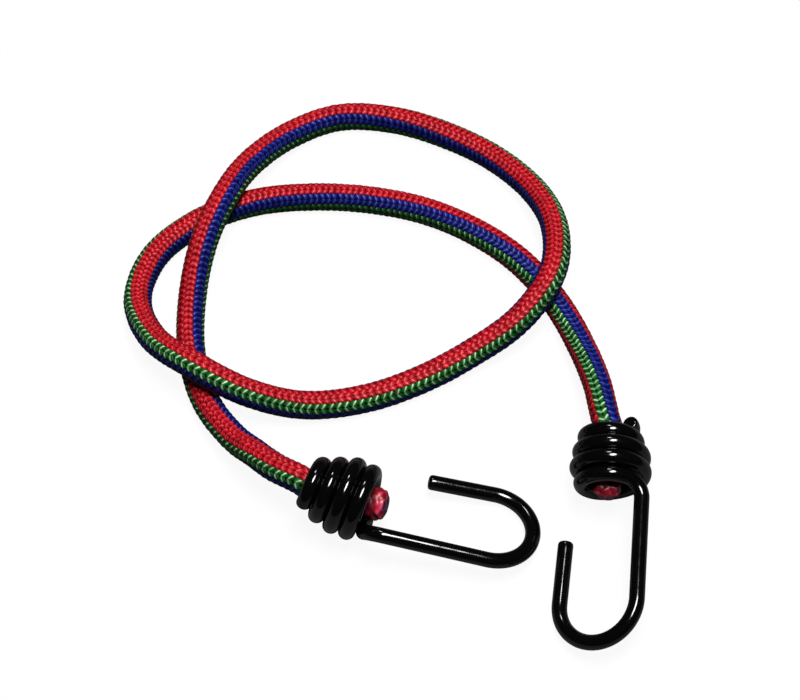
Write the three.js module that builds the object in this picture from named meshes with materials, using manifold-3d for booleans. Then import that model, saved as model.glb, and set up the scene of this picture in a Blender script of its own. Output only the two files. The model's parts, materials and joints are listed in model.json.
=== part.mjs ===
// Bungee cord: a sheathed elastic cord lying in one loose loop, with a wound wire hook on each end.
// Millimetres, +Z up. The floor that the cord lies on is z = 0, under the middle of the whole part.
import * as THREE from "three";
import { mergeVertices } from "three/addons/utils/BufferGeometryUtils.js";
import Module from "manifold-3d";

const wasm = await Module();
wasm.setup();

// Elastic cord
const CORD_DIAMETER = 8;
const SHEATH_WALL = 0.8;
const CORD_SIDES = 12;
const CORD_STEPS = 58;
const RESTING_SQUASH = 0.8; // how far the cord's underside flattens where it lies on the floor
const RESTING_WALL = 0.4; // what is left of the sheath under that flat
const CROSSING_GAP = 0.5; // air between two strands where one lies over the other

// Rubber strands inside the sheath, square cut and packed in rows without the corner ones
const STRAND_ROWS = 4;
const STRAND_GAP = 0.2;
const STRAND_CLEARANCE = 0.36; // outermost corner of the pack to the sheath

// Hook wire and its vinyl coat
const WIRE_DIAMETER = 3;
const WIRE_CLEARANCE = 0.23; // wire to coat
const COAT_WALL = 0.42;
const WIRE_PROUD = 0.5; // bare cut end of the wire past the coat
const TIP_COVER = 1.5; // vinyl over the wire's end at the tip of the hook
const TIP_ROUNDING = 0.8;
const ROUNDING_STEPS = 3;
const COAT_SIDES = 8;
const WIRE_SIDES = 6;
const HOOK_STEPS = 90;

// What holds the cord in the hook's coil: a closed-up wire ring and the melted end of the cord
const RING_WIRE = 2;
const RING_CLEARANCE = 0.3; // cord to ring
const RING_OPENING = 24; // degrees
const RING_SETBACK = 0.6; // turns of the coil from its widest place back to the ring
const RING_SIDES = 8;
const RING_STEPS = 22;
const SEAL_GAP = 0.3;
const SEAL_FLARE = 0.5;
const SEAL_RIM = 0.8;
const SEAL_HEIGHT = 2.6;
const SEAL_SIDES = 16;
const SEAL_STEPS = 5;

// Coil of the hook, wound left-handed round the end of the cord and barrel shaped to take the ring
const COIL_TURNS = 4;
const COIL_CLEARANCE = 0.35; // cord to the first turn
const COIL_ROOM = 0.9; // ring to the widest turn
const COIL_WIDEST_TURN = 2.56;
const COIL_TURN_GAP = 0.3;

// Shank and bend of the hook
const ELBOW_RADIUS = 5.6;
const SHANK_LENGTH = 28.6;
const SHANK_TOE_IN = 5.4; // degrees towards the coil's axis
const BEND_RADIUS = 11.65;
const BEND_PAST_HALF_TURN = 2.5; // degrees

// The two hooks: where the coil's mouth lies on the floor plan, heading and roll in degrees, the side
// that the shank leaves on, the length of the tip and how far the cord's end stands out of the coil
const HOOKS = {
  a: { mouth: [-24.8, -50.6], heading: -15.7, roll: 14.5, shankSide: -1, tip: 18.2, endProud: 1.9 },
  b: { mouth: [58.5, -32.2], heading: -90.3, roll: 30, shankSide: 1, tip: 17.4, endProud: -0.4 },
};
const MOUTH_LEAD = 3; // straight cord in front of a coil's mouth

// The cord's way over the floor from hook a to hook b: x, y and its lift,
// where 0 lies on the floor and 1 lies over another strand
const ROUTE = [
  [-34.6, -44.7, 1.1], [-40.5, -39, 0.82], [-46.4, -32.8, 0.46], [-55, -19.5, 0.04],
  [-60, -3.5, 0.02], [-60.5, 13.5, 0.26], [-57.5, 29.5, 0.9], [-51.5, 45.5, 1.06],
  [-44.5, 60, 0.6], [-33, 73, 0.12], [-18.5, 80, 0], [-1.5, 79, 0],
  [15, 73, 0], [29.5, 64, 0.03], [40.5, 51, 0.28], [45.5, 35.5, 0.8],
  [44, 18.5, 1.06], [34.5, 5, 0.72], [20.5, -4, 0.22], [5.5, -12, 0.02],
  [-10.5, -18, 0], [-27.5, -20.5, 0.12], [-43.5, -19, 0.7], [-58.5, -12, 1.06],
  [-71, -0.5, 0.58], [-76.5, 15, 0.1], [-72, 30.5, 0], [-59, 42.5, 0],
  [-43.5, 49, 0], [-26.5, 51, 0], [-9.5, 50, 0], [7.5, 46, 0],
  [22.5, 38.5, 0], [35.5, 28, 0], [45.5, 14, 0.03], [52, -1.5, 0.28], [55.7, -17, 0.82],
];

const radians = THREE.MathUtils.degToRad;
const quarterTurn = Math.PI / 2;
const fullTurn = 2 * Math.PI;
const cordRadius = CORD_DIAMETER / 2;
const sheathBoreRadius = cordRadius - SHEATH_WALL;
const restHeight = cordRadius - RESTING_SQUASH;
const liftOver = CORD_DIAMETER + CROSSING_GAP;
const wireBoreRadius = WIRE_DIAMETER / 2 + WIRE_CLEARANCE;
const coatRadius = wireBoreRadius + COAT_WALL;
const ringOutside = cordRadius + RING_CLEARANCE + RING_WIRE;
const coilPitch = 2 * coatRadius + COIL_TURN_GAP;
const firstTurnRadius = cordRadius + COIL_CLEARANCE + coatRadius;
const widestTurnRadius = ringOutside + COIL_ROOM + coatRadius;

const material = (color, roughness, metalness) => new THREE.MeshStandardMaterial({ color, roughness, metalness });
const materials = {
  sheath: material(0xc8202f, 0.75, 0),
  rubber: material(0xc9b487, 0.8, 0),
  steel: material(0x9a9ca0, 0.35, 1),
  vinyl: material(0x0b0b0c, 0.22, 0),
  melted: material(0x8c1420, 0.5, 0),
};

// A part circle in space: it starts at `from`, runs along `along` and bends towards `towards`.
class ArcLine extends THREE.Curve {
  constructor(from, along, towards, radius, angle) {
    super();
    Object.assign(this, { from, along, towards, radius, angle });
  }
  getPoint(t, target = new THREE.Vector3()) {
    const turn = this.angle * t;
    return target
      .copy(this.from)
      .addScaledVector(this.along, this.radius * Math.sin(turn))
      .addScaledVector(this.towards, this.radius * (1 - Math.cos(turn)));
  }
  directionAtEnd() {
    return new THREE.Vector3()
      .addScaledVector(this.along, Math.cos(this.angle))
      .addScaledVector(this.towards, Math.sin(this.angle));
  }
}

function coilRadius(turn) {
  const swell = Math.sin((quarterTurn * turn) / COIL_WIDEST_TURN) ** 2;
  return THREE.MathUtils.lerp(firstTurnRadius, widestTurnRadius, swell);
}

// The barrel-shaped coil in the hook's own frame: its axis is +X and the shank leaves on the +Y side.
class CoilLine extends THREE.Curve {
  constructor() {
    super();
    const leavingAngle = Math.atan2(ELBOW_RADIUS, coilRadius(COIL_TURNS)); // levels the shank with the axis
    this.turns = COIL_TURNS - leavingAngle / fullTurn;
    this.length = this.turns * coilPitch;
  }
  getPoint(t, target = new THREE.Vector3()) {
    const turn = this.turns * t;
    const angle = -fullTurn * turn;
    const radius = coilRadius(turn);
    return target.set(coilPitch * turn, radius * Math.cos(angle), radius * Math.sin(angle));
  }
}

// The middle line of the hook's wire, from the cut end in the coil to the tip of the hook.
function makeHookLine(coil, tipLength) {
  const toe = radians(SHANK_TOE_IN);
  const shankWay = new THREE.Vector3(Math.cos(toe), -Math.sin(toe), 0);
  const inward = new THREE.Vector3(-Math.sin(toe), -Math.cos(toe), 0);
  const leaving = coil.getTangent(1);
  const elbowWay = shankWay.clone().addScaledVector(leaving, -leaving.dot(shankWay)).normalize();
  const elbow = new ArcLine(coil.getPoint(1), leaving, elbowWay, ELBOW_RADIUS, leaving.angleTo(shankWay));
  const shankStart = elbow.getPoint(1);
  const shankEnd = shankStart.clone().addScaledVector(shankWay, SHANK_LENGTH);
  const bend = new ArcLine(shankEnd, shankWay, inward, BEND_RADIUS, Math.PI + radians(BEND_PAST_HALF_TURN));
  const tipStart = bend.getPoint(1);
  const tipEnd = tipStart.clone().addScaledVector(bend.directionAtEnd(), tipLength);
  const line = new THREE.CurvePath();
  line.curves = [
    coil,
    elbow,
    new THREE.LineCurve3(shankStart, shankEnd),
    bend,
    new THREE.LineCurve3(tipStart, tipEnd),
  ];
  return line;
}

// The same line lengthened at the cut end and shortened at the tip, for what lies inside the coat.
function innerLine(line, extraAtStart, lessAtTip) {
  const start = line.curves[0].getPoint(0);
  const lead = start.clone().addScaledVector(line.curves[0].getTangent(0), -extraAtStart);
  const tip = line.curves.at(-1);
  const tipEnd = tip.v2.clone().addScaledVector(tip.getTangent(1), -lessAtTip);
  const inner = new THREE.CurvePath();
  inner.curves = [
    new THREE.LineCurve3(lead, start),
    ...line.curves.slice(0, -1),
    new THREE.LineCurve3(tip.v1, tipEnd),
  ];
  return inner;
}

function polygon(radius, sides) {
  const corners = [];
  for (let i = 0; i < sides; i++) {
    const angle = (fullTurn * i) / sides;
    corners.push(new THREE.Vector2(radius * Math.cos(angle), radius * Math.sin(angle)));
  }
  return new THREE.Shape(corners);
}

function square(side, x, y) {
  const corners = [[-1, -1], [1, -1], [1, 1], [-1, 1]];
  return new THREE.Shape(corners.map(([u, v]) => new THREE.Vector2(x + (u * side) / 2, y + (v * side) / 2)));
}

function tube(path, shape, steps) {
  return new THREE.ExtrudeGeometry(shape, { extrudePath: path, steps, bevelEnabled: false });
}

// A lathed geometry turned so that its axis runs along `direction` from `place`.
function lathed(profile, sides, place, direction) {
  const points = profile.map(([radius, height]) => new THREE.Vector2(radius, height));
  const turn = new THREE.Quaternion().setFromUnitVectors(new THREE.Vector3(0, 1, 0), direction);
  return new THREE.LatheGeometry(points, sides).applyQuaternion(turn).translate(place.x, place.y, place.z);
}

function toSolid(geometry) {
  const bare = new THREE.BufferGeometry().setAttribute("position", geometry.getAttribute("position"));
  bare.setIndex(geometry.index);
  const merged = mergeVertices(bare);
  const vertProperties = merged.getAttribute("position").array;
  const triVerts = new Uint32Array(merged.index.array);
  return new wasm.Manifold(new wasm.Mesh({ numProp: 3, vertProperties, triVerts }));
}

function toGeometry(solid) {
  const { vertProperties, triVerts } = solid.getMesh();
  return new THREE.BufferGeometry()
    .setAttribute("position", new THREE.BufferAttribute(vertProperties, 3))
    .setIndex(new THREE.BufferAttribute(triVerts, 1));
}

// Nothing of the piece lies below `height`: what would is pressed flat there.
function pressedFlat(geometry, height) {
  const position = geometry.getAttribute("position");
  for (let i = 0; i < position.count; i++) {
    position.setZ(i, Math.max(position.getZ(i), height));
  }
  return geometry;
}

function mesh(name, geometry, finish) {
  const piece = new THREE.Mesh(geometry, finish);
  piece.name = name;
  return piece;
}

// The hook's own axes on the floor plan: down the coil's axis, towards the shank, and square to both.
function hookAxes({ heading, roll, shankSide }, pitch) {
  const turn = radians(heading);
  const tilt = radians(roll);
  const level = Math.cos(pitch);
  const axis = new THREE.Vector3(level * Math.cos(turn), level * Math.sin(turn), -Math.sin(pitch));
  const side = new THREE.Vector3(-Math.sin(turn), Math.cos(turn), 0).multiplyScalar(shankSide);
  const up = axis.clone().cross(side).multiplyScalar(shankSide);
  const shankWay = side.multiplyScalar(Math.cos(tilt)).addScaledVector(up, Math.sin(tilt));
  return [axis, shankWay, axis.clone().cross(shankWay)];
}

// Tips a hook nose up or down until its coil and its bend both lie on the floor.
function restingMatrix(place, coilPoints, bendPoints) {
  const lowest = (points, [axis, shankWay, third]) =>
    Math.min(...points.map((p) => p.x * axis.z + p.y * shankWay.z + p.z * third.z));
  const halvings = 40;
  let noseUp = -quarterTurn / 2;
  let noseDown = quarterTurn / 2;
  for (let i = 0; i < halvings; i++) {
    const pitch = (noseUp + noseDown) / 2;
    const axes = hookAxes(place, pitch);
    if (lowest(bendPoints, axes) > lowest(coilPoints, axes)) noseUp = pitch;
    else noseDown = pitch;
  }
  const axes = hookAxes(place, noseUp);
  const height = coatRadius - lowest(coilPoints, axes);
  return new THREE.Matrix4().makeBasis(...axes).setPosition(...place.mouth, height);
}

// Least air between the coil's turns, measured between points at least half a turn apart.
function leastCoilGap(coil) {
  const pointsPerTurn = 90;
  const points = coil.getPoints(Math.round(coil.turns * pointsPerTurn));
  let least = Infinity;
  points.forEach((point, i) => {
    for (let j = i + pointsPerTurn / 2; j < points.length; j++) {
      least = Math.min(least, point.distanceTo(points[j]));
    }
  });
  return least - 2 * coatRadius;
}

// A hook: the bent wire and the vinyl coat over it, which is open only at the cut end in the coil.
function makeHook(letter, line) {
  const wireLine = innerLine(line, WIRE_PROUD, TIP_COVER);
  const boreLine = innerLine(line, WIRE_PROUD, TIP_COVER - WIRE_CLEARANCE);
  const wire = tube(wireLine, polygon(WIRE_DIAMETER / 2, WIRE_SIDES), HOOK_STEPS);
  const bore = tube(boreLine, polygon(wireBoreRadius, COAT_SIDES), HOOK_STEPS);
  const outside = tube(line, polygon(coatRadius, COAT_SIDES), HOOK_STEPS);

  const flatRadius = coatRadius * Math.cos(Math.PI / COAT_SIDES);
  const profile = [[0, -TIP_ROUNDING], [flatRadius, -TIP_ROUNDING]];
  for (let i = 0; i <= ROUNDING_STEPS; i++) {
    const angle = (quarterTurn * i) / ROUNDING_STEPS;
    profile.push([flatRadius - TIP_ROUNDING * (1 - Math.cos(angle)), TIP_ROUNDING * Math.sin(angle)]);
  }
  profile.push([0, TIP_ROUNDING]);
  const tip = line.curves.at(-1);
  const roundedTip = lathed(profile, COAT_SIDES * 2, tip.v2, tip.getTangent(1));

  const coat = toSolid(outside).add(toSolid(roundedTip)).subtract(toSolid(bore));
  return [
    mesh(`hook_${letter}_coating`, toGeometry(coat), materials.vinyl),
    mesh(`hook_${letter}_wire`, wire, materials.steel),
  ];
}

// The ring squeezed round the cord inside the coil, and the melted end of the cord, in the hook's frame.
function makeStops(letter, cordEnd) {
  const ringRadius = ringOutside - RING_WIRE / 2;
  const ringPlace = (COIL_WIDEST_TURN - RING_SETBACK) * coilPitch;
  const startAngle = radians(RING_OPENING / 2);
  const outward = new THREE.Vector3(0, Math.cos(startAngle), Math.sin(startAngle));
  const along = new THREE.Vector3(0, -Math.sin(startAngle), Math.cos(startAngle));
  const start = outward.clone().multiplyScalar(ringRadius).setX(ringPlace);
  const ringLine = new ArcLine(start, along, outward.negate(), ringRadius, fullTurn - 2 * startAngle);
  const ring = tube(ringLine, polygon(RING_WIRE / 2, RING_SIDES), RING_STEPS);

  const profile = [[0, 0], [cordRadius, 0]];
  for (let i = 0; i < SEAL_STEPS; i++) {
    const angle = (quarterTurn * i) / SEAL_STEPS;
    const height = SEAL_RIM + (SEAL_HEIGHT - SEAL_RIM) * Math.sin(angle);
    profile.push([(cordRadius + SEAL_FLARE) * Math.cos(angle), height]);
  }
  profile.push([0, SEAL_HEIGHT]);
  const sealPlace = new THREE.Vector3(cordEnd + SEAL_GAP, 0, 0);
  const seal = lathed(profile, SEAL_SIDES, sealPlace, new THREE.Vector3(1, 0, 0));
  return [
    mesh(`stop_ring_${letter}`, ring, materials.steel),
    mesh(`sealed_end_${letter}`, seal, materials.melted),
  ];
}

// The knitted sleeve over the strands: a tube, pressed flat where it lies on the floor.
function makeSheath(cordLine) {
  const outside = pressedFlat(tube(cordLine, polygon(cordRadius, CORD_SIDES), CORD_STEPS), 0);
  const bore = pressedFlat(tube(cordLine, polygon(sheathBoreRadius, CORD_SIDES), CORD_STEPS), RESTING_WALL);
  return mesh("sheath", toGeometry(toSolid(outside).subtract(toSolid(bore))), materials.sheath);
}

// Pitch of the strands at which the outermost corners of the pack lie on a circle of this radius.
function strandPitch(radius) {
  const across = STRAND_ROWS / 2;
  const up = across - 1;
  const a = across ** 2 + up ** 2;
  const b = (across + up) * STRAND_GAP;
  const c = STRAND_GAP ** 2 / 2 - radius ** 2;
  return (b + Math.sqrt(b ** 2 - 4 * a * c)) / (2 * a);
}

function makeStrands(cordLine) {
  const boreFlat = sheathBoreRadius * Math.cos(Math.PI / CORD_SIDES);
  const room = Math.min(boreFlat, restHeight - RESTING_WALL);
  const pitch = strandPitch(room - STRAND_CLEARANCE);
  const side = pitch - STRAND_GAP;
  const last = STRAND_ROWS - 1;
  const isOuter = (index) => index === 0 || index === last;
  const strands = [];
  for (let row = 0; row < STRAND_ROWS; row++) {
    for (let column = 0; column < STRAND_ROWS; column++) {
      if (isOuter(row) && isOuter(column)) continue;
      const section = square(side, (column - last / 2) * pitch, (row - last / 2) * pitch);
      const number = String(strands.length + 1).padStart(2, "0");
      strands.push(mesh(`rubber_strand_${number}`, tube(cordLine, section, CORD_STEPS), materials.rubber));
    }
  }
  return strands;
}

const model = new THREE.Group();
const coil = new CoilLine();
const coilPoints = coil.getPoints(240);
const cordEnds = {};
for (const [letter, place] of Object.entries(HOOKS)) {
  const hookLine = makeHookLine(coil, place.tip);
  const bendPoints = hookLine.curves.slice(2).flatMap((curve) => curve.getPoints(60));
  const hook = new THREE.Group();
  hook.applyMatrix4(restingMatrix(place, coilPoints, bendPoints));
  const cordEnd = coil.length + place.endProud;
  hook.add(...makeHook(letter, hookLine), ...makeStops(letter, cordEnd));
  model.add(hook);
  const onAxis = (x) => new THREE.Vector3(x, 0, 0).applyMatrix4(hook.matrix);
  cordEnds[letter] = [cordEnd, coil.length / 2, 0, -MOUTH_LEAD].map(onAxis);
}

const laid = ROUTE.map(([x, y, lift]) => new THREE.Vector3(x, y, restHeight + lift * liftOver));
const cordPoints = [...cordEnds.a, ...laid, ...cordEnds.b.toReversed()];
const cordLine = new THREE.CatmullRomCurve3(cordPoints, false, "centripetal");
cordLine.arcLengthDivisions = CORD_STEPS * 20;
model.add(makeSheath(cordLine), ...makeStrands(cordLine));

const middle = new THREE.Box3().setFromObject(model, true).getCenter(new THREE.Vector3());
model.position.set(-middle.x, -middle.y, 0);

console.log(`least gap between the coil's turns: ${leastCoilGap(coil).toFixed(2)} mm`);
console.log(`length of the cord: ${cordLine.getLength().toFixed(0)} mm`);

export default model;
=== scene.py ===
import json
import math
import bpy
import numpy as np
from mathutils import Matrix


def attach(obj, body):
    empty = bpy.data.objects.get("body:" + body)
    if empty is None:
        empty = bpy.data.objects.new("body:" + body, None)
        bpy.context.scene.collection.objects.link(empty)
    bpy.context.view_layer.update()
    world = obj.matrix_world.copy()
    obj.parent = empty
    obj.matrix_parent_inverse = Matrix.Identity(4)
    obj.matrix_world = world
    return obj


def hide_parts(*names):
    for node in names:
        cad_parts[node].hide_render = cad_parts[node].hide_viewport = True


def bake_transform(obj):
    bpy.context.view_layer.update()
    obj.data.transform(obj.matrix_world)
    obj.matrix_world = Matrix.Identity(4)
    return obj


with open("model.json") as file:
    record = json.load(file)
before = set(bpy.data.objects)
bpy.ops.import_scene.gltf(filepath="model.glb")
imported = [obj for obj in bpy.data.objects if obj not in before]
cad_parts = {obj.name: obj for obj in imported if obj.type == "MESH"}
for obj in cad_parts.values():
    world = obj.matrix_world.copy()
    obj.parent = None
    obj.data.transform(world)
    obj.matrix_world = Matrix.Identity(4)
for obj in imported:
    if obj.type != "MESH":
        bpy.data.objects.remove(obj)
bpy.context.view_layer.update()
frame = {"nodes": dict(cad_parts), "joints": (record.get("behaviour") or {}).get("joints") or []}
scene = bpy.context.scene
scene.view_settings.view_transform = "Standard"
joints = {joint["name"]: joint for joint in frame["joints"]}
mm = 0.001
fullTurn = 2 * math.pi
# in mm: the route is drawn round the photo's middle, the part round its own box
layoutShift = np.array([5.339, 6.326, 0.0])
print("frame loaded:", len(frame["nodes"]), "solids")


# sRGB hex to linear colour, opaque
def linear(hexColour):
    channels = [int(hexColour[i:i + 2], 16) / 255 for i in (1, 3, 5)]
    return (*[c / 12.92 if c <= 0.04045 else ((c + 0.055) / 1.055) ** 2.4 for c in channels], 1.0)


def unit(vectors):
    vectors = np.asarray(vectors, float)
    return vectors / np.linalg.norm(vectors, axis=-1, keepdims=True)


# one node with its settings, and its inputs from values or from other nodes' sockets
def addNode(tree, kind, settings=None, **inputs):
    node = tree.nodes.new(kind)
    for name, value in (settings or {}).items():
        setattr(node, name, value)
    for name, value in inputs.items():
        key = int(name[1:]) if name[0] == "i" and name[1:].isdigit() else name.replace("_", " ")
        if isinstance(value, bpy.types.NodeSocket):
            tree.links.new(value, node.inputs[key])
        else:
            node.inputs[key].default_value = value
    return node


def newMaterial(name):
    material = bpy.data.materials.new(name)
    material.use_nodes = True
    material.node_tree.nodes.clear()
    return material, material.node_tree


# mesh object from arrays: corners, quads, a material number per face, values per point, a map per face corner
def makeMesh(name, corners, faces, materials, faceMaterials=None, values=None, uvs=None, smooth=True):
    mesh = bpy.data.meshes.new(name)
    mesh.from_pydata(np.asarray(corners, float).tolist(), [], [list(map(int, f)) for f in faces])
    for material in materials:
        mesh.materials.append(material)
    if faceMaterials is not None:
        mesh.polygons.foreach_set("material_index", np.asarray(faceMaterials, np.int32))
    mesh.polygons.foreach_set("use_smooth", np.full(len(mesh.polygons), smooth))
    for key, column in (values or {}).items():
        mesh.attributes.new(key, "FLOAT", "POINT").data.foreach_set("value", np.asarray(column, np.float32))
    if uvs is not None:
        loops = np.zeros(len(mesh.loops), np.int32)
        mesh.loops.foreach_get("vertex_index", loops)
        mesh.uv_layers.new(name="UVMap").data.foreach_set("uv", np.asarray(uvs, np.float32)[loops].ravel())
    mesh.update()
    piece = bpy.data.objects.new(name, mesh)
    scene.collection.objects.link(piece)
    return piece


# faces of a grid of rows by columns, closed round the columns if asked
def gridFaces(rows, columns, closed=True, start=0):
    r, c = np.meshgrid(np.arange(rows - 1), np.arange(columns if closed else columns - 1), indexing="ij")
    n = (c + 1) % columns
    quads = np.stack([r * columns + c, r * columns + n, (r + 1) * columns + n, (r + 1) * columns + c], -1)
    return quads.reshape(-1, 4) + start


# the camera, fitted to the photograph
cameraSetup = {
    "target": layoutShift * mm,
    "elevation": 60.0,  # degrees above the floor
    "distance": 0.720,  # m
    "lens": 111.7,  # mm, and so is the sensor
    "sensor": 36,
}


def makeCamera(setup):
    data = bpy.data.cameras.new("camera")
    data.lens = setup["lens"]
    data.sensor_width = setup["sensor"]
    camera = bpy.data.objects.new("camera", data)
    tilt = math.radians(setup["elevation"])
    back = np.array([0, -math.cos(tilt), math.sin(tilt)]) * setup["distance"]
    camera.location = setup["target"] + back
    camera.rotation_euler = (math.pi / 2 - tilt, 0, 0)
    scene.collection.objects.link(camera)
    scene.camera = camera


makeCamera(cameraSetup)
print("camera set")


# the cord's line from the end in hook a to the end in hook b, in mm
cordSetup = {
    "diameter": 8.0,
    "restHeight": 3.2,  # middle of the cord over the floor, its underside pressed flat by 0.8 mm
    "liftOver": 8.5,  # how much higher it lies over another strand
    "coilLength": 17.94,
    "lead": 3.0,  # straight cord in front of a coil
    "proud": {"a": 1.9, "b": 0.5},  # how far the cord comes out of the wide end of each coil
    "lean": {"a": (0.0, 0.55, 0.55), "b": (-1.35, 0.0, -0.5)},  # the end lies off the coil's axis
    "sag": {"a": (0.0, 0.8, 0.4), "b": (-0.9, 0.0, 0.0)},  # and so does the cord in front of the coil
    "sagAtMouth": 0.1,  # share of that sag at the coil's mouth
    "route": [  # x, y and the lift: 0 on the floor, 1 over another strand
        (-34.6, -44.7, 1.1), (-40.5, -39, 0.82), (-46.4, -32.8, 0.46), (-55, -19.5, 0.04),
        (-60, -3.5, 0.02), (-60.5, 13.5, 0.26), (-57.5, 29.5, 0.9), (-51.5, 45.5, 1.06),
        (-44.5, 60, 0.6), (-33, 73, 0.12), (-18.5, 80, 0), (-1.5, 79, 0),
        (15, 73, 0), (29.5, 64, 0.03), (40.5, 51, 0.28), (45.5, 35.5, 0.8),
        (44, 18.5, 1.06), (34.5, 5, 0.72), (20.5, -4, 0.22), (5.5, -12, 0.02),
        (-10.5, -18, 0), (-27.5, -20.5, 0.12), (-43.5, -19, 0.7), (-58.5, -12, 1.06),
        (-71, -0.5, 0.58), (-76.5, 15, 0.1), (-72, 30.5, 0), (-59, 42.5, 0),
        (-43.5, 49, 0), (-26.5, 51, 0), (-9.5, 50, 0), (7.5, 46, 0),
        (22.5, 38.5, 0), (35.5, 28, 0), (45.5, 14, 0.03), (52, -1.5, 0.28), (55.8, -17, 0.82),
    ],
}
# where each coil's narrow mouth is, the way down the coil, and the side that the shank leaves on
hookPlaces = {
    letter: {
        "start": np.array(joints[f"hook_{letter}_swivel"]["pos_m"]) / mm,
        "axis": unit(joints[f"hook_{letter}_swivel"]["axis"]),
        "shank": unit(shank),
    }
    for letter, shank in (("a", (-0.2339, -0.9399, 0.2487)), ("b", (0.866, -0.0156, 0.4999)))
}


# smooth line through points, spaced by the square root of their distances
def smoothLine(points, perSpan=30):
    points = np.asarray(points, float)
    ends = np.vstack([2 * points[0] - points[1], points, 2 * points[-1] - points[-2]])
    share = np.linspace(0, 1, perSpan, endpoint=False)[:, None]
    spans = []
    for p0, p1, p2, p3 in zip(ends, ends[1:], ends[2:], ends[3:]):
        d0, d1, d2 = [np.linalg.norm(b - a) ** 0.5 for a, b in ((p0, p1), (p1, p2), (p2, p3))]
        t1 = ((p1 - p0) / d0 - (p2 - p0) / (d0 + d1) + (p2 - p1) / d1) * d1
        t2 = ((p2 - p1) / d1 - (p3 - p1) / (d1 + d2) + (p3 - p2) / d2) * d1
        square = 3 * (p2 - p1) - 2 * t1 - t2
        cube = 2 * (p1 - p2) + t1 + t2
        spans.append(p1 + share * t1 + share**2 * square + share**3 * cube)
    return np.vstack([*spans, points[-1:]])


# places on and round the cord by the distance along it in mm
class LaidCord:
    def __init__(self, points, step=0.4):
        line = smoothLine(points)
        along = np.r_[0, np.cumsum(np.linalg.norm(np.diff(line, axis=0), axis=1))]
        self.length = along[-1]
        self.steps = np.linspace(0, self.length, int(self.length / step))
        self.line = np.stack([np.interp(self.steps, along, line[:, k]) for k in range(3)], 1)
        self.way = unit(np.gradient(self.line, axis=0))
        self.right = unit(np.cross(self.way, (0, 0, 1)))
        self.up = np.cross(self.right, self.way)

    def at(self, track, along):
        return np.stack([np.interp(along, self.steps, track[:, k]) for k in range(3)], -1)

    # angle is 0 on top of the cord and grows to the right of the way from hook a to hook b
    def around(self, along, angle, radius):
        over = np.clip(along, 0, self.length)
        beyond = (np.asarray(along) - over)[..., None] * self.at(self.way, over)
        up, right = self.at(self.up, over), self.at(self.right, over)
        out = np.cos(angle)[..., None] * up + np.sin(angle)[..., None] * right
        return self.at(self.line, over) + beyond + np.asarray(radius)[..., None] * out


def cordPoints(setup):
    ends = {}
    for letter, place in hookPlaces.items():
        stops = (setup["coilLength"] + setup["proud"][letter], setup["coilLength"] / 2, 0, -setup["lead"])
        ends[letter] = [place["start"] + place["axis"] * x for x in stops]
        ends[letter][0] = ends[letter][0] + setup["lean"][letter]
        ends[letter][2] = ends[letter][2] + setup["sagAtMouth"] * np.array(setup["sag"][letter])
        ends[letter][3] = ends[letter][3] + setup["sag"][letter]
    rest, over = setup["restHeight"], setup["liftOver"]
    laid = [layoutShift + (x, y, rest + lift * over) for x, y, lift in setup["route"]]
    return np.array([*ends["a"], *laid, *ends["b"][::-1]])


laidCord = LaidCord(cordPoints(cordSetup))
print("cord line:", round(laidCord.length), "mm")


# polyester filament yarn, dyed in the melt and knitted: a bright body colour with a soft sheen,
# a painted highlight, a pale line along each leg where the filaments catch the light, and painted deep shade
# between the legs
# line is how far that pale line goes to each side of a leg's crown, in mm
yarnColours = {
    "red": {"body": "#B00817", "paintedGleam": "#E65462", "paintedDeepShade": "#48030A", "line": 0.12},
    "blue": {"body": "#07126C", "paintedGleam": "#4654AC", "paintedDeepShade": "#020412", "line": 0.12},
    "green": {"body": "#0D601F", "paintedGleam": "#DCFFCC", "paintedDeepShade": "#010703", "line": 0.15},
}


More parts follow.
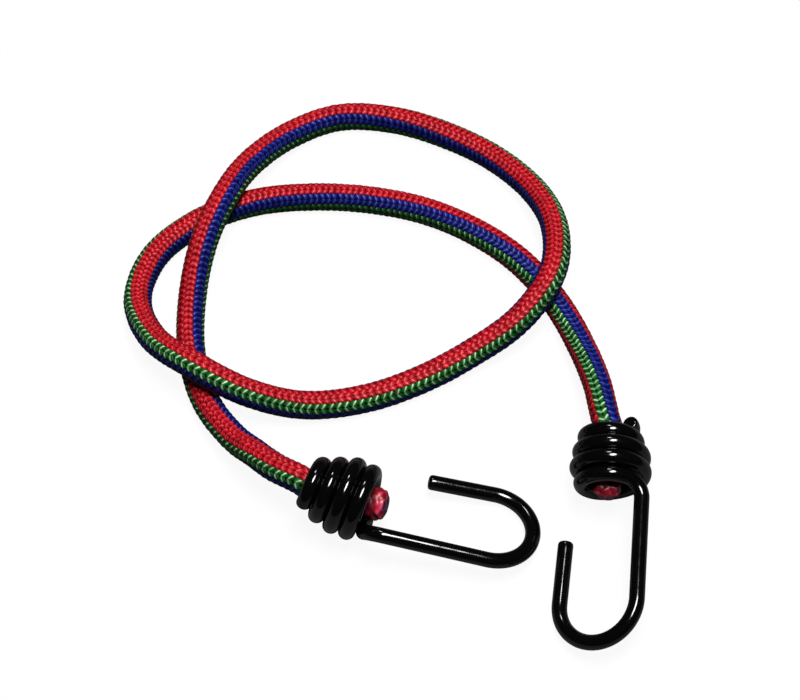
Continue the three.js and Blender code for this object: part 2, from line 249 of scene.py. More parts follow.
def yarnMaterial(name, colours):
    material, tree = newMaterial(f"{name} polyester yarn, knitted")
    out = addNode(tree, "ShaderNodeOutputMaterial")
    uv = addNode(tree, "ShaderNodeUVMap")
    # four or five streaks of filaments to the 1.4 mm yarn, drawn that coarse to show at all
    fibres = addNode(
        tree, "ShaderNodeTexWave", {"wave_type": "BANDS", "bands_direction": "Y"},
        Vector=uv.outputs["UV"], Scale=1.0, Distortion=1.6, Detail=2.0, Detail_Scale=1.2,
    )
    blotch = addNode(tree, "ShaderNodeTexNoise", Vector=uv.outputs["UV"], Scale=0.35, Detail=3.0, Roughness=0.6)
    # the painted highlight along the legs, the painted shade between them, and the tone, which varies at random and
    # carries painted shade on the sides facing away from the top
    paintedGleam = addNode(tree, "ShaderNodeAttribute", {"attribute_name": "paintedGleam"})
    paintedShade = addNode(tree, "ShaderNodeAttribute", {"attribute_name": "paintedShade"})
    tone = addNode(tree, "ShaderNodeAttribute", {"attribute_name": "tone"})
    # the map's second direction runs across a leg from its crown, in mm
    across = addNode(tree, "ShaderNodeSeparateXYZ", Vector=uv.outputs["UV"])
    off = addNode(tree, "ShaderNodeMath", {"operation": "ABSOLUTE"}, i0=across.outputs["Y"])
    line = addNode(
        tree, "ShaderNodeMapRange", {"interpolation_type": "SMOOTHSTEP"},
        Value=off.outputs["Value"], From_Min=0.0, From_Max=colours["line"], To_Min=1.0, To_Max=0.0,
    )
    # the pale line is a painted highlight, and a little glossier as well
    paintedHighlight = addNode(
        tree, "ShaderNodeMath", {"operation": "MULTIPLY"}, i0=paintedGleam.outputs["Fac"], i1=line.outputs["Result"],
    )
    body = addNode(
        tree, "ShaderNodeMix", {"data_type": "RGBA"},
        Factor=paintedHighlight.outputs["Value"], i6=linear(colours["body"]), i7=linear(colours["paintedGleam"]),
    )
    streak = addNode(tree, "ShaderNodeMapRange", Value=fibres.outputs["Fac"], To_Min=0.82, To_Max=1.08)
    mottle = addNode(
        tree, "ShaderNodeMapRange",
        Value=blotch.outputs["Fac"], From_Min=0.3, From_Max=0.7, To_Min=0.88, To_Max=1.1,
    )
    both = addNode(
        tree, "ShaderNodeMath", {"operation": "MULTIPLY"},
        i0=streak.outputs["Result"], i1=mottle.outputs["Result"],
    )
    dyed = addNode(
        tree, "ShaderNodeVectorMath", {"operation": "SCALE"}, i0=body.outputs[2], Scale=both.outputs["Value"],
    )
    varied = addNode(
        tree, "ShaderNodeVectorMath", {"operation": "SCALE"}, i0=dyed.outputs["Vector"], Scale=tone.outputs["Fac"],
    )
    # painted shade between the legs
    shaded = addNode(
        tree, "ShaderNodeMix", {"data_type": "RGBA"},
        Factor=paintedShade.outputs["Fac"], i6=varied.outputs["Vector"], i7=linear(colours["paintedDeepShade"]),
    )
    bump = addNode(tree, "ShaderNodeBump", Height=fibres.outputs["Fac"], Strength=0.35, Distance=0.00006)
    dull = addNode(tree, "ShaderNodeMapRange", Value=paintedHighlight.outputs["Value"], To_Min=0.5, To_Max=0.38)
    shine = addNode(tree, "ShaderNodeMapRange", Value=paintedHighlight.outputs["Value"], To_Min=0.12, To_Max=0.5)
    shader = addNode(
        tree, "ShaderNodeBsdfPrincipled", Base_Color=shaded.outputs[2], IOR=1.55,
        Roughness=dull.outputs["Result"], Specular_IOR_Level=shine.outputs["Result"], Normal=bump.outputs["Normal"],
    )
    tree.links.new(shader.outputs["BSDF"], out.inputs["Surface"])
    return material


knitSetup = {
    "radius": 4.16,  # crown of the loops, in mm
    "baseRadius": 3.52,  # the backs of the loops
    "baseStep": (0.9, 7.5),  # between their points, in mm along the cord and degrees round it
    # eight wales round the cord: colour, middle in degrees, and how far the loops are set off along it in courses
    "wales": [
        ("red", -20.5, 0.0), ("red", 20.5, 0.5), ("blue", 66.5, 0.0), ("green", 115.5, 0.5),
        ("red", 159.5, 0.0), ("red", 200.5, 0.5), ("blue", 246.5, 0.0), ("green", 295.5, 0.5),
    ],
    "waleHalf": {"red": 20.5, "blue": 25.5, "green": 23.5},  # half a wale in degrees
    "shade": {"red": 0.6, "blue": 0.7, "green": 1.0},  # how much painted shade lies between the legs
    "edge": {"same": 0.2, "other": 0.9},  # and painted shade at the outer ends of the legs, darker where two colours meet
    # course spacing in mm by the distance along the cord: the sheath is stretched more in some places
    "courses": [
        (0, 1.86), (40, 1.92), (60, 2.1), (105, 1.75), (163, 2.12), (197, 1.94), (238, 1.78), (274, 1.85),
        (315, 2.0), (362, 2.17), (417, 1.9), (449, 1.65), (497, 1.8), (563, 1.82), (615, 1.92), (663, 1.92),
    ],
    "bare": (1, 0.3),  # courses without legs at the two ends of the cord
    # degrees that the middle of a red stripe lies left of the cord's top, by the distance along the cord
    "turns": [
        (0, -27), (30, -19), (46, 11), (61, 15), (89, 27), (130, 29), (184, 23), (212, 4), (243, -10), (279, -15),
        (320, -11), (369, -15), (393, -28), (428, -26), (446, -9), (467, -3), (494, 13), (507, 22), (545, 33),
        (575, 53), (605, 73), (632, 92), (650, 101), (663, 106),
    ],
    "samples": 4000,  # along the cord and a little past its ends, and how many of them soften the turn
    "past": 8,
    "soften": 121,
    # the painted gleam is stronger where the yarn faces up and back, towards the lamps, and least low in front
    "catch": {"way": (0.0, 1.0, 2.2), "level": 0.5, "least": 0.1},
    # painted shade: how bright the yarn is painted by how far it faces up, darker on the sides away from the top
    # lamp
    "paintedSideShade": [(-0.2, 0.46), (0.2, 0.46), (0.5, 0.55), (0.75, 0.85), (0.9, 1.04), (1.0, 1.12)],
    "legGrid": (7, 7),  # points along a leg of yarn and over it
    "legReach": (0.02, 0.96),  # where a leg starts and how far it goes, in half wales
    "legRise": 0.36,  # half its thickness, in mm
    "legHalf": 0.49,  # half its width, in courses
    "legRun": 0.5,  # how far it goes back along the cord, in courses
    "legCurve": 1.15,
    "legDip": 0.25,  # how much deeper its ends lie, in mm
    # along a leg: how wide it is and how high
    "legShape": [
        (0, 0.84, 0.72), (0.2, 0.95, 0.9), (0.45, 1, 1), (0.75, 0.97, 1), (0.92, 0.86, 0.85), (1, 0.62, 0.5),
    ],
    # how strong the painted highlight is along a leg
    "legPaintedGleam": [(0, 0.35), (0.2, 0.6), (0.45, 0.9), (0.8, 1), (1, 0.6)],
    "plainCourse": 1.9,  # mm, with the next one for the slope of the legs and for their map
    "plainRadius": 4,
    "yarnWidth": 1.4,
    "mapStep": 7.3,  # from leg to leg on the map, so that no two look the same
    # how much the legs differ
    "vary": {"course": 0.03, "width": 0.05, "degrees": 0.5, "radius": 0.02, "paintedGleam": 0.25, "tone": 0.1},
    "seed": 4,
}


# the courses and the turn of the knit along the cord
class Knit:
    def __init__(self, cord, setup):
        self.cord = cord
        self.setup = setup
        at, spacing = np.array(setup["courses"], float).T
        self.steps = np.linspace(-setup["past"], cord.length + setup["past"], setup["samples"])
        rate = 1 / np.interp(self.steps, at, spacing)
        self.count = np.r_[0, np.cumsum((rate[1:] + rate[:-1]) / 2 * np.diff(self.steps))]
        at, turn = np.array(setup["turns"], float).T
        padded = np.pad(np.interp(self.steps, at, turn), setup["soften"] // 2, mode="edge")
        kernel = np.hanning(setup["soften"])
        self.turn = np.convolve(padded, kernel / kernel.sum(), "valid")

    def alongAt(self, course):
        return np.interp(course, self.count, self.steps)

    def courseAt(self, along):
        return np.interp(along, self.steps, self.count)

    # place from the course number, the angle on the knit in degrees and the radius
    def place(self, course, degrees, radius):
        along = self.alongAt(course)
        turn = np.interp(along, self.steps, self.turn)
        return self.cord.around(along, np.radians(degrees - turn), radius)


# the underside is pressed flat on the floor, and nothing goes below it
def pressFlat(corners, soft=0.25):
    z = corners[:, 2]
    corners[:, 2] = np.where(z < soft, soft * np.exp(np.minimum(z - soft, 0) / soft), z)
    return corners


# all legs of one wale on one side: each a leaf of yarn from the wale's middle out and back
def legColumn(knit, wale, side, edge, ends, random):
    setup = knit.setup
    vary, catch = setup["vary"], setup["catch"]
    colour, middle, offset = wale
    half = setup["waleHalf"][colour]
    rows, columns = setup["legGrid"]
    courses = np.arange(math.ceil(ends[0]), math.floor(ends[1])) + offset
    n = len(courses)
    t = np.linspace(0, 1, rows)
    lateral = half * (setup["legReach"][0] + setup["legReach"][1] * t)
    stops, widths, heights = np.array(setup["legShape"]).T
    halfAcross = (setup["legHalf"] * np.interp(t, stops, widths))[None, :, None]
    lift = np.interp(t, stops, heights)[None, :, None]
    angle = np.radians(np.linspace(-25, 205, columns))  # over the leg, tucked in a little at both edges
    across, high = np.cos(angle), np.clip(np.sin(angle), 0, 1)
    plainCourse, plainRadius = setup["plainCourse"], setup["plainRadius"]
    slope = math.atan2(setup["legRun"] * plainCourse, math.radians(half) * plainRadius)  # of the leg off crosswise
    swing = math.degrees(math.sin(slope) * math.cos(slope) * plainCourse / plainRadius)
    jitter = random.normal(0, 1, (4, n))[..., None, None]
    shape = np.ones((n, rows, columns))
    run = (setup["legRun"] * t ** setup["legCurve"])[:, None]
    course = courses[:, None, None] - run + vary["course"] * jitter[0]
    course = (course + halfAcross * across * (1 + vary["width"] * jitter[1])) * shape
    degrees = middle + side * (lateral[:, None] + halfAcross * across * swing + vary["degrees"] * jitter[2])
    degrees = degrees * shape
    radius = setup["radius"] - setup["legRise"] * (1 - lift * np.sin(angle)) + vary["radius"] * jitter[3]
    radius = radius - setup["legDip"] * (1 - lift)
    corners = knit.place(course, degrees, radius * shape).reshape(-1, 3)
    one = gridFaces(rows, columns, closed=False)
    if side > 0:
        one = one[:, ::-1]
    faces = (one[None] + (np.arange(n) * rows * columns)[:, None, None]).reshape(-1, 4)
    out = knit.place(course, degrees, shape) - knit.place(course, degrees, 0 * shape)  # which way the yarn faces
    # painted highlight along each leg: varied from leg to leg, stronger where the yarn faces the lamps
    bright = np.clip(1 + vary["paintedGleam"] * random.normal(0, 1, n), 0.4, 1.5)[:, None, None]
    paintedGleam = np.interp(t, *np.array(setup["legPaintedGleam"]).T)[:, None] * bright
    paintedGleam = paintedGleam * np.clip(catch["level"] + out @ np.array(catch["way"]), catch["least"], 1)
    # tone differs at random from leg to leg, and painted shade darkens the sides facing away from the top
    tone = np.clip(1 + vary["tone"] * random.normal(0, 1, n), 0.7, 1.3)[:, None, None]
    tone = tone * np.interp(out[..., 2], *np.array(setup["paintedSideShade"]).T)
    # painted shade between the legs, and on the flanks of their outer ends
    lastQuarter = np.clip(4 * t - 3, 0, 1)[:, None]
    paintedShade = setup["shade"][colour] * (1 - high) ** 2 + edge * (lastQuarter * (1 - high**2))
    along = t[:, None] * math.radians(half) * plainRadius + np.arange(n)[:, None, None] * setup["mapStep"]
    uvs = np.stack([along * shape, (angle / math.pi - 0.5) * setup["yarnWidth"] * shape], -1).reshape(-1, 2)
    return {
        "corners": corners, "faces": faces, "uvs": uvs,
        "paintedGleam": np.clip(paintedGleam * shape, 0, 1).ravel(),
        "paintedShade": np.clip(paintedShade * shape, 0, 1).ravel(),
        "tone": tone.ravel(),
    }


def makeSheath(knit, materials):
    setup = knit.setup
    wales, waleHalf = setup["wales"], setup["waleHalf"]
    random = np.random.default_rng(setup["seed"])
    names = list(materials)
    begin, last = knit.courseAt(0.0), knit.courseAt(knit.cord.length)
    legEnds = (begin + setup["bare"][0], last - setup["bare"][1])
    parts = []
    for k, wale in enumerate(wales):
        for side in (-1, 1):
            beside = wales[(k + side) % len(wales)][0]
            edge = setup["edge"]["same" if beside == wale[0] else "other"]
            part = legColumn(knit, wale, side, edge, legEnds, random)
            part["material"] = np.full(len(part["faces"]), names.index(wale[0]))
            parts.append(part)
    # the backs of the loops, close under the legs, coloured with painted shade
    stepAlong, stepRound = setup["baseStep"]
    rings = np.linspace(begin, last, int(knit.cord.length / stepAlong))
    first = wales[0][1] - waleHalf[wales[0][0]]
    columns = np.arange(first, first + 360, stepRound)
    course, degrees = np.meshgrid(rings, columns, indexing="ij")
    corners = knit.place(course, degrees, np.full(course.shape, setup["baseRadius"])).reshape(-1, 3)
    faces = gridFaces(len(rings), len(columns))
    borders = first + np.cumsum([2 * waleHalf[colour] for colour, _, _ in wales])
    coloursAt = [wales[np.searchsorted(borders, a + stepRound / 2)][0] for a in columns]
    # painted shade on the backs: full where two colours meet, elsewhere as deep as between the legs
    paintedDeepShade = [
        setup["shade"][after] if before == after else 1.0
        for before, after in zip([coloursAt[-1], *coloursAt], coloursAt)
    ]
    uvs = np.stack([knit.alongAt(course), np.radians(degrees) * setup["baseRadius"]], -1).reshape(-1, 2)
    parts.append({
        "corners": corners, "faces": faces[:, ::-1], "uvs": uvs,
        "paintedGleam": np.zeros(len(corners)), "paintedShade": np.tile(paintedDeepShade, len(rings)), "tone": np.ones(len(corners)),
        "material": np.tile([names.index(colour) for colour in coloursAt], len(rings) - 1),
    })
    starts = np.r_[0, np.cumsum([len(p["corners"]) for p in parts])]
    return makeMesh(
        "knittedSheath",
        pressFlat(np.vstack([p["corners"] for p in parts])) * mm,
        np.vstack([p["faces"] + start for p, start in zip(parts, starts)]),
        list(materials.values()),
        np.concatenate([p["material"] for p in parts]),
        {key: np.concatenate([p[key] for p in parts]) for key in ("paintedGleam", "paintedShade", "tone")},
        np.vstack([p["uvs"] for p in parts]),
    )


yarns = {name: yarnMaterial(name, colours) for name, colours in yarnColours.items()}
knit = Knit(laidCord, knitSetup)
sheath = makeSheath(knit, yarns)
print("sheath knitted:", len(sheath.data.polygons), "faces")


# natural rubber, cut from calendered sheet: dull cream threads, chalked so that they slide
def rubberMaterial():
    material, tree = newMaterial("natural rubber, cut thread")
    out = addNode(tree, "ShaderNodeOutputMaterial")
    place = addNode(tree, "ShaderNodeTexCoord")
    chalk = addNode(tree, "ShaderNodeTexNoise", Vector=place.outputs["Object"], Scale=900.0, Detail=4.0)
    tone = addNode(
        tree, "ShaderNodeMix", {"data_type": "RGBA"},
        Factor=chalk.outputs["Fac"], i6=linear("#C9AE78"), i7=linear("#E4D3AC"),
    )
    bump = addNode(tree, "ShaderNodeBump", Height=chalk.outputs["Fac"], Strength=0.2, Distance=0.00005)
    shader = addNode(
        tree, "ShaderNodeBsdfPrincipled", Base_Color=tone.outputs[2], Roughness=0.75, IOR=1.52,
        Normal=bump.outputs["Normal"],
    )
    tree.links.new(shader.outputs["BSDF"], out.inputs["Surface"])
    return material


# four rows of four square threads without the four at the corners, in mm
strandSetup = {"rows": 4, "pitch": 1.13, "side": 0.92, "corner": 0.2, "step": 2.0}


def makeStrands(cord, setup, material):
    corner = setup["corner"]
    inner = setup["side"] / 2 - corner
    section = []
    for cx, cy, turn in ((1, 1, 0), (-1, 1, 90), (-1, -1, 180), (1, -1, 270)):
        for a in (0, 45, 90):
            angle = math.radians(turn + a)
            section.append((cx * inner + corner * math.cos(angle), cy * inner + corner * math.sin(angle)))
    section = np.array(section)
    along = np.linspace(0, cord.length, int(cord.length / setup["step"]))
    line, right, up = (cord.at(track, along) for track in (cord.line, cord.right, cord.up))
    corners, faces = [], []
    outer = (0, setup["rows"] - 1)
    middle = outer[1] / 2
    for row in range(setup["rows"]):
        for column in range(setup["rows"]):
            if row in outer and column in outer:
                continue
            place = (section + np.array([column - middle, row - middle]) * setup["pitch"])[None]
            tube = line[:, None] + place[..., :1] * right[:, None] + place[..., 1:] * up[:, None]
            start = sum(len(c) for c in corners)
            corners.append(tube.reshape(-1, 3))
            faces += gridFaces(len(along), len(section), start=start).tolist()
            last = start + (len(along) - 1) * len(section)
            faces.append(list(range(start + len(section) - 1, start - 1, -1)))
            faces.append(list(range(last, last + len(section))))
    return makeMesh("rubberStrands", np.vstack(corners) * mm, faces, [material])


strands = makeStrands(laidCord, strandSetup, rubberMaterial())
print("rubber strands:", len(strands.data.polygons), "faces")


# soft vinyl (PVC plastisol), dipped and cured: deep black with the even wet gloss of a poured skin
def vinylMaterial():
    material, tree = newMaterial("black vinyl, dipped")
    out = addNode(tree, "ShaderNodeOutputMaterial")
    place = addNode(tree, "ShaderNodeTexCoord")
    # the skin runs in long low waves about 6 mm apart, with fine scuffs
    waves = addNode(tree, "ShaderNodeTexNoise", Vector=place.outputs["Object"], Scale=160.0, Detail=1.0)
    scuffs = addNode(
        tree, "ShaderNodeTexNoise", Vector=place.outputs["Object"], Scale=900.0, Detail=5.0, Roughness=0.7,
    )
    tone = addNode(
        tree, "ShaderNodeMix", {"data_type": "RGBA"},
        Factor=scuffs.outputs["Fac"], i6=linear("#020203"), i7=linear("#060607"),
    )
    gloss = addNode(
        tree, "ShaderNodeMapRange",
        Value=scuffs.outputs["Fac"], From_Min=0.35, From_Max=0.75, To_Min=0.08, To_Max=0.14,
    )
    bump = addNode(tree, "ShaderNodeBump", Height=waves.outputs["Fac"], Strength=0.25, Distance=0.0002)
    shader = addNode(
        tree, "ShaderNodeBsdfPrincipled", Base_Color=tone.outputs[2], Roughness=gloss.outputs["Result"], IOR=1.53,
        Normal=bump.outputs["Normal"],
    )
    tree.links.new(shader.outputs["BSDF"], out.inputs["Surface"])
    return material


# drawn steel wire with a dark phosphate skin from the drawing: grey and dull with a fine grain
def wireMaterial():
    material, tree = newMaterial("steel wire, drawn and phosphated")
    out = addNode(tree, "ShaderNodeOutputMaterial")
    place = addNode(tree, "ShaderNodeTexCoord")
    grain = addNode(tree, "ShaderNodeTexNoise", Vector=place.outputs["Object"], Scale=1200.0, Detail=4.0)
    tone = addNode(
        tree, "ShaderNodeMix", {"data_type": "RGBA"},
        Factor=grain.outputs["Fac"], i6=linear("#3C3D3F"), i7=linear("#55565A"),
    )
    gloss = addNode(tree, "ShaderNodeMapRange", Value=grain.outputs["Fac"], To_Min=0.32, To_Max=0.5)
    bump = addNode(tree, "ShaderNodeBump", Height=grain.outputs["Fac"], Strength=0.2, Distance=0.00004)
    shader = addNode(
        tree, "ShaderNodeBsdfPrincipled", Base_Color=tone.outputs[2], Metallic=1.0,
        Roughness=gloss.outputs["Result"], Normal=bump.outputs["Normal"],
    )
    tree.links.new(shader.outputs["BSDF"], out.inputs["Surface"])
    return material


# in mm, angles in degrees
hookSetup = {
    "coatRadius": 2.15,
    "coilTurns": 4,
    "pitch": 4.6,
    "firstRadius": 6.5,
    "widestRadius": 9.35,
    "widestTurn": 2.56,
    "merge": 1.08,  # the dip fills the gaps between the turns
    "mergeOver": (0.1, 0.3),  # turns at the coil's start and end over which that filling grows
    "elbowRadius": 5.6,
    "shankLength": 28.6,
    "toeIn": 5.4,
    "bendRadius": 11.65,
    "pastHalfTurn": 2.5,
    "tipLength": {"a": 17.8, "b": 17.0},
    "points": {"coil": 260, "elbow": 24, "shank": 24, "bend": 64, "tip": 16},
    "sides": 28,
    # both ends of the wire are rounded over by the dip: how far on and how thick, in radii
    "startRings": [(0.1, 0.99), (0.19, 0.95), (0.26, 0.86), (0.31, 0.7), (0.34, 0.4), (0.34, 0.02)],
    "tipRings": [(0.15, 0.99), (0.32, 0.93), (0.44, 0.82), (0.52, 0.64), (0.56, 0.38), (0.57, 0.02)],
}


# part circle that starts along one way and bends towards another
def arcLine(start, along, towards, radius, angle, count):
    turn = np.linspace(0, angle, count)[:, None]
    return start + radius * (np.sin(turn) * along + (1 - np.cos(turn)) * towards)


# middle line of a hook's wire in its own axes: down the coil, towards the shank, and square to both,
# and how much wider the coat is along the coil
def hookLine(setup, tipLength):
    def coilRadius(turn):
        swell = np.sin(math.pi / 2 * turn / setup["widestTurn"]) ** 2
        return setup["firstRadius"] + (setup["widestRadius"] - setup["firstRadius"]) * swell

    points = setup["points"]
    turns = setup["coilTurns"] - math.atan2(setup["elbowRadius"], coilRadius(setup["coilTurns"])) / fullTurn
    turn = np.linspace(0, turns, points["coil"])
    radius, angle = coilRadius(turn), -fullTurn * turn
    coil = np.stack([setup["pitch"] * turn, radius * np.cos(angle), radius * np.sin(angle)], 1)
    toe = math.radians(setup["toeIn"])
    shankWay = np.array([math.cos(toe), -math.sin(toe), 0])
    inward = np.array([-math.sin(toe), -math.cos(toe), 0])
    leaving = unit(coil[-1] - coil[-2])
    elbowWay = unit(shankWay - leaving * (leaving @ shankWay))
    elbowAngle = math.acos(leaving @ shankWay)
    elbow = arcLine(coil[-1], leaving, elbowWay, setup["elbowRadius"], elbowAngle, points["elbow"])
    shank = elbow[-1] + np.linspace(0, setup["shankLength"], points["shank"])[:, None] * shankWay
    bendAngle = math.pi + math.radians(setup["pastHalfTurn"])
    bend = arcLine(shank[-1], shankWay, inward, setup["bendRadius"], bendAngle, points["bend"])
    tipWay = math.cos(bendAngle) * shankWay + math.sin(bendAngle) * inward
    tip = bend[-1] + np.linspace(0, tipLength, points["tip"])[:, None] * tipWay
    line = np.vstack([coil, elbow[1:], shank[1:], bend[1:], tip[1:]])
    growing, ending = setup["mergeOver"]
    inCoil = np.clip(np.minimum(turn / growing, (turns - turn) / ending), 0, 1)
    return line, np.r_[1 + (setup["merge"] - 1) * inCoil, np.ones(len(line) - len(coil))]


# tube round a line, in a frame that doesn't twist, closed by its end rings
def sweptTube(line, wide, radius, sides, startRings, endRings):
    way = unit(np.gradient(line, axis=0))
    out = unit(np.cross(way[0], (0.3, 0.2, 1.0)))  # any way that isn't along the line
    outs = []
    for w in way:
        out = unit(out - w * (out @ w))
        outs.append(out)
    thick = np.ones(len(line))
    for rings, at, ahead in ((startRings, 0, -1), (endRings, -1, 1)):
        extra = [line[at] + ahead * on * radius * way[at] for on, _ in rings]
        share = [s for _, s in rings]
        same = [way[at]] * len(rings), [outs[at]] * len(rings)
        if ahead < 0:
            line, thick = np.vstack([extra[::-1], line]), np.r_[share[::-1], thick]
            way, outs, wide = np.vstack([same[0], way]), same[1] + outs, np.r_[np.ones(len(rings)), wide]
        else:
            line, thick = np.vstack([line, extra]), np.r_[thick, share]
            way, outs, wide = np.vstack([way, same[0]]), outs + same[1], np.r_[wide, np.ones(len(rings))]
    outs = np.array(outs)
    third = np.cross(way, outs)
    angle = np.linspace(0, fullTurn, sides, endpoint=False)
    ring = np.cos(angle)[None, :, None] * outs[:, None] + np.sin(angle)[None, :, None] * third[:, None]
    ring[..., 0] *= wide[:, None]
    corners = line[:, None] + radius * thick[:, None, None] * ring
    return corners.reshape(-1, 3), gridFaces(len(line), sides)


def inWorld(place, corners):
    axes = np.stack([place["axis"], place["shank"], np.cross(place["axis"], place["shank"])])
    return (place["start"] + corners @ axes) * mm


def makeHook(letter, setup, material):
    line, wide = hookLine(setup, setup["tipLength"][letter])
    corners, faces = sweptTube(
        line, wide, setup["coatRadius"], setup["sides"], setup["startRings"], setup["tipRings"],
    )
    return makeMesh(f"hook_{letter}_coat", inWorld(hookPlaces[letter], corners), faces, [material])


vinyl = vinylMaterial()
steel = wireMaterial()
hooks = {letter: makeHook(letter, hookSetup, vinyl) for letter in "ab"}
for letter in "ab":
    for node in (f"hook_{letter}_wire", f"stop_ring_{letter}"):
        solid = frame["nodes"][node]
        solid.data.materials.clear()
        solid.data.materials.append(steel)
print("hooks wound")


# the cord's end, where the melted yarns drew together into a lumpy bead
endSetup = {
    "profile": [  # along and out from the cord's end in mm
        (-3.4, 3.9), (-2.3, 4.25), (-1.2, 4.45), (-0.2, 4.5), (0.7, 4.4),
        (1.4, 4.0), (2.0, 3.4), (2.45, 2.5), (2.7, 1.4), (2.75, 0.05),
    ],
    "grid": (31, 96),  # points along it and round it
    # how many round the end and along it, and how high as a share of the radius
    "lumps": [(2, 1, 0.05), (3, 2, 0.06), (5, 3, 0.06), (4, 5, 0.05), (9, 4, 0.04)],
    "lumpRange": 0.25,  # painted light from dark in the folds to bright on the brightest lumps
    "seed": {"a": 11, "b": 12},
    "size": {"a": 1.0, "b": 0.82},
    "glow": {"a": 0.62, "b": 0.42},  # how much of it is painted bright; end b is painted darker, shaded in its coil
    "rim": {"a": 1.0, "b": 0.0},  # the blue yarn drew over the face of one end
}


# melted and set again: glossy, with painted shade dark in the folds, a painted pink highlight on the lumps, and a
# rim of the blue yarn
def meltedMaterial():
    material, tree = newMaterial("polyester yarn, melted")
    out = addNode(tree, "ShaderNodeOutputMaterial")
    place = addNode(tree, "ShaderNodeTexCoord")
    paintedLight = addNode(tree, "ShaderNodeAttribute", {"attribute_name": "paintedLight"})
    navy = addNode(tree, "ShaderNodeAttribute", {"attribute_name": "navy"})
    lumps = addNode(tree, "ShaderNodeTexNoise", Vector=place.outputs["Object"], Scale=700.0, Detail=4.0)
    # painted shade: dark red in the folds, bright red on the lumps
    body = addNode(
        tree, "ShaderNodeMix", {"data_type": "RGBA"},
        Factor=paintedLight.outputs["Fac"], i6=linear("#4A0512"), i7=linear("#C4162E"),
    )
    # painted pink highlight on the highest lumps
    high = addNode(
        tree, "ShaderNodeMapRange", Value=paintedLight.outputs["Fac"], From_Min=0.62, From_Max=0.95, To_Max=0.8,
    )
    paintedPinkHighlight = addNode(
        tree, "ShaderNodeMix", {"data_type": "RGBA"},
        Factor=high.outputs["Result"], i6=body.outputs[2], i7=linear("#F0507C"),
    )
    rim = addNode(
        tree, "ShaderNodeMix", {"data_type": "RGBA"},
        Factor=navy.outputs["Fac"], i6=paintedPinkHighlight.outputs[2], i7=linear("#11123E"),
    )
    bump = addNode(tree, "ShaderNodeBump", Height=lumps.outputs["Fac"], Strength=0.5, Distance=0.0002)
    shader = addNode(
        tree, "ShaderNodeBsdfPrincipled", Base_Color=rim.outputs[2], Roughness=0.38, IOR=1.57,
        Normal=bump.outputs["Normal"],
    )
    tree.links.new(shader.outputs["BSDF"], out.inputs["Surface"])
    return material


def makeEnd(letter, setup, cord, material):
    at, ahead = (0, -1) if letter == "a" else (-1, 1)
    random = np.random.default_rng(setup["seed"][letter])
    t = np.linspace(0, 1, setup["grid"][0])
    angle = np.linspace(0, fullTurn, setup["grid"][1], endpoint=False)
    along, out = np.array(setup["profile"]).T
    knots = np.linspace(0, 1, len(along))
    along, out = np.interp(t, knots, along), np.interp(t, knots, out)
    lump = np.zeros((len(t), len(angle)))
    for count, rows, height in setup["lumps"]:
        turn, shift = random.uniform(0, fullTurn, 2)
        ripple = np.cos(count * angle[None] + turn + 2 * t[:, None])
        lump += height * ripple * np.cos(rows * 4 * t + shift)[:, None]
    radius = setup["size"][letter] * out[:, None] * (1 + lump * np.clip(3 * t, 0, 1)[:, None])
    spread = np.cos(angle)[None, :, None] * cord.up[at] + np.sin(angle)[None, :, None] * cord.right[at]
    corners = cord.line[at] + (along * ahead)[:, None, None] * cord.way[at] + radius[..., None] * spread
    nearCord = np.clip(1.2 - 4 * t, 0, 0.5)[:, None]  # painted shade there, where the bead meets the cord
    # painted light: highlight on the lumps, shade in the folds and near the cord
    paintedLight = setup["glow"][letter] + lump / setup["lumpRange"] - nearCord
    navy = setup["rim"][letter] * np.clip(9 * t - 5.2 + 12 * lump.T, 0, 1).T  # on the face, with a ragged edge
    faces = gridFaces(len(t), len(angle))
    return makeMesh(
        f"sealedEnd_{letter}", corners.reshape(-1, 3) * mm, faces if ahead < 0 else faces[:, ::-1], [material],
        values={"paintedLight": np.clip(paintedLight, 0, 1).ravel(), "navy": navy.ravel()},
    )


melted = meltedMaterial()
ends = {letter: makeEnd(letter, endSetup, laidCord, melted) for letter in "ab"}
print("cord ends sealed")


# pieces to bodies
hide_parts("sheath")
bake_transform(sheath)
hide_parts(*[f"rubber_strand_{n:02d}" for n in range(1, 13)])
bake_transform(strands)
for letter, body in (("a", "cord"), ("b", "cord_end_b")):
    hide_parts(f"hook_{letter}_coating")
    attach(hooks[letter], f"hook_{letter}")
    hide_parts(f"sealed_end_{letter}")
    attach(ends[letter], body)
print("pieces ride on their bodies")


# painted board: white with a faint shadow to the camera, a grey card for the light that bounces and reflects
stageSetup = {
    "size": 4.0,  # m
    "drop": 0.0002,  # m below the part
    "paper": "#F2F2F2",
    "white": 0.93,  # how much of the white is even, without shadow
    "ground": "#505050",
    "mirrored": "#6A6A6A",
}


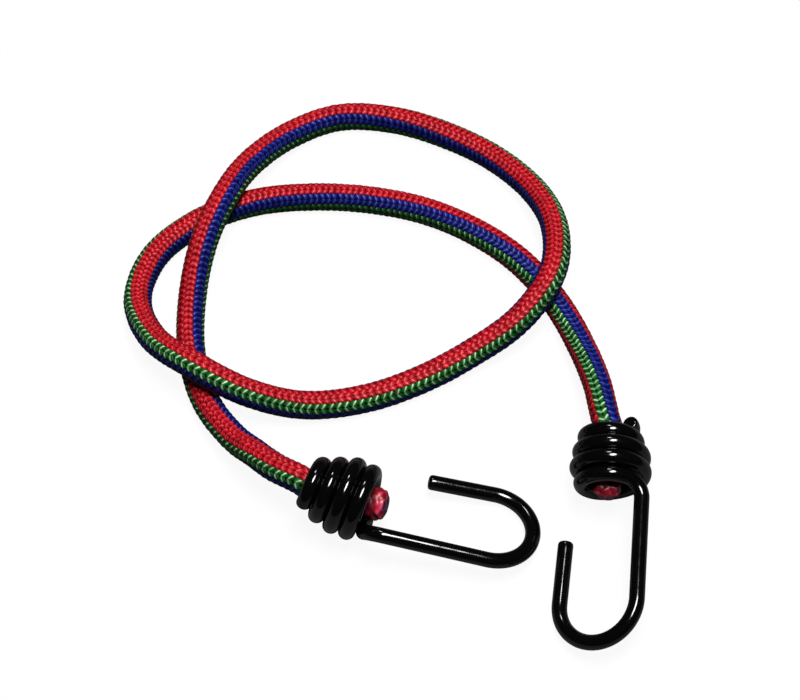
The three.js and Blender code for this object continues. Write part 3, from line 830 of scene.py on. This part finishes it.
def makeFloor(setup):
    material, tree = newMaterial("studio floor, painted board")
    out = addNode(tree, "ShaderNodeOutputMaterial")
    path = addNode(tree, "ShaderNodeLightPath")
    ground = addNode(tree, "ShaderNodeBsdfDiffuse", Color=linear(setup["ground"]))
    mirrored = addNode(tree, "ShaderNodeBsdfDiffuse", Color=linear(setup["mirrored"]))
    unseen = addNode(
        tree, "ShaderNodeMixShader",
        i0=path.outputs["Is Glossy Ray"], i1=ground.outputs[0], i2=mirrored.outputs[0],
    )
    paper = addNode(tree, "ShaderNodeBsdfDiffuse", Color=linear(setup["paper"]))
    glow = addNode(tree, "ShaderNodeEmission", Color=(1, 1, 1, 1), Strength=1.0)
    white = addNode(tree, "ShaderNodeMixShader", i0=setup["white"], i1=paper.outputs[0], i2=glow.outputs[0])
    mixed = addNode(
        tree, "ShaderNodeMixShader", i0=path.outputs["Is Camera Ray"], i1=unseen.outputs[0], i2=white.outputs[0],
    )
    tree.links.new(mixed.outputs[0], out.inputs["Surface"])
    half, level = setup["size"] / 2, -setup["drop"]
    corners = [(x * half, y * half, level) for x, y in ((-1, -1), (1, -1), (1, 1), (-1, 1))]
    floor = makeMesh("floor", corners, [(0, 1, 2, 3)], [material], smooth=False)


# a wide soft lamp over the part and a small one behind it, in m and W, both turned to the middle of the floor
lampSetup = {
    "top": {"place": (0.09, -0.04, 1.0), "size": (0.5, 0.27), "power": 11.2},
    "back": {"place": (-0.04, 0.55, 0.88), "size": (0.18, 0.16), "power": 1.4},
}
skySetup = {"colour": (1, 1, 1, 1), "strength": 0.02}  # the little light that comes from all round


def makeLamps(setup):
    for name, lamp in setup.items():
        data = bpy.data.lights.new(name, "AREA")
        data.shape = "ELLIPSE"
        data.size, data.size_y = lamp["size"]
        data.energy = lamp["power"]
        light = bpy.data.objects.new(name, data)
        light.location = lamp["place"]
        aim = -np.array(lamp["place"])
        light.rotation_euler = (
            math.atan2(math.hypot(aim[0], aim[1]), -aim[2]), 0, math.atan2(aim[0], -aim[1]) + math.pi,
        )
        scene.collection.objects.link(light)


def makeSky(setup):
    world = bpy.data.worlds.new("studio")
    world.use_nodes = True
    background = world.node_tree.nodes["Background"]
    background.inputs["Color"].default_value = setup["colour"]
    background.inputs["Strength"].default_value = setup["strength"]
    scene.world = world


makeFloor(stageSetup)
makeLamps(lampSetup)
makeSky(skySetup)
print("stage and lamps set")
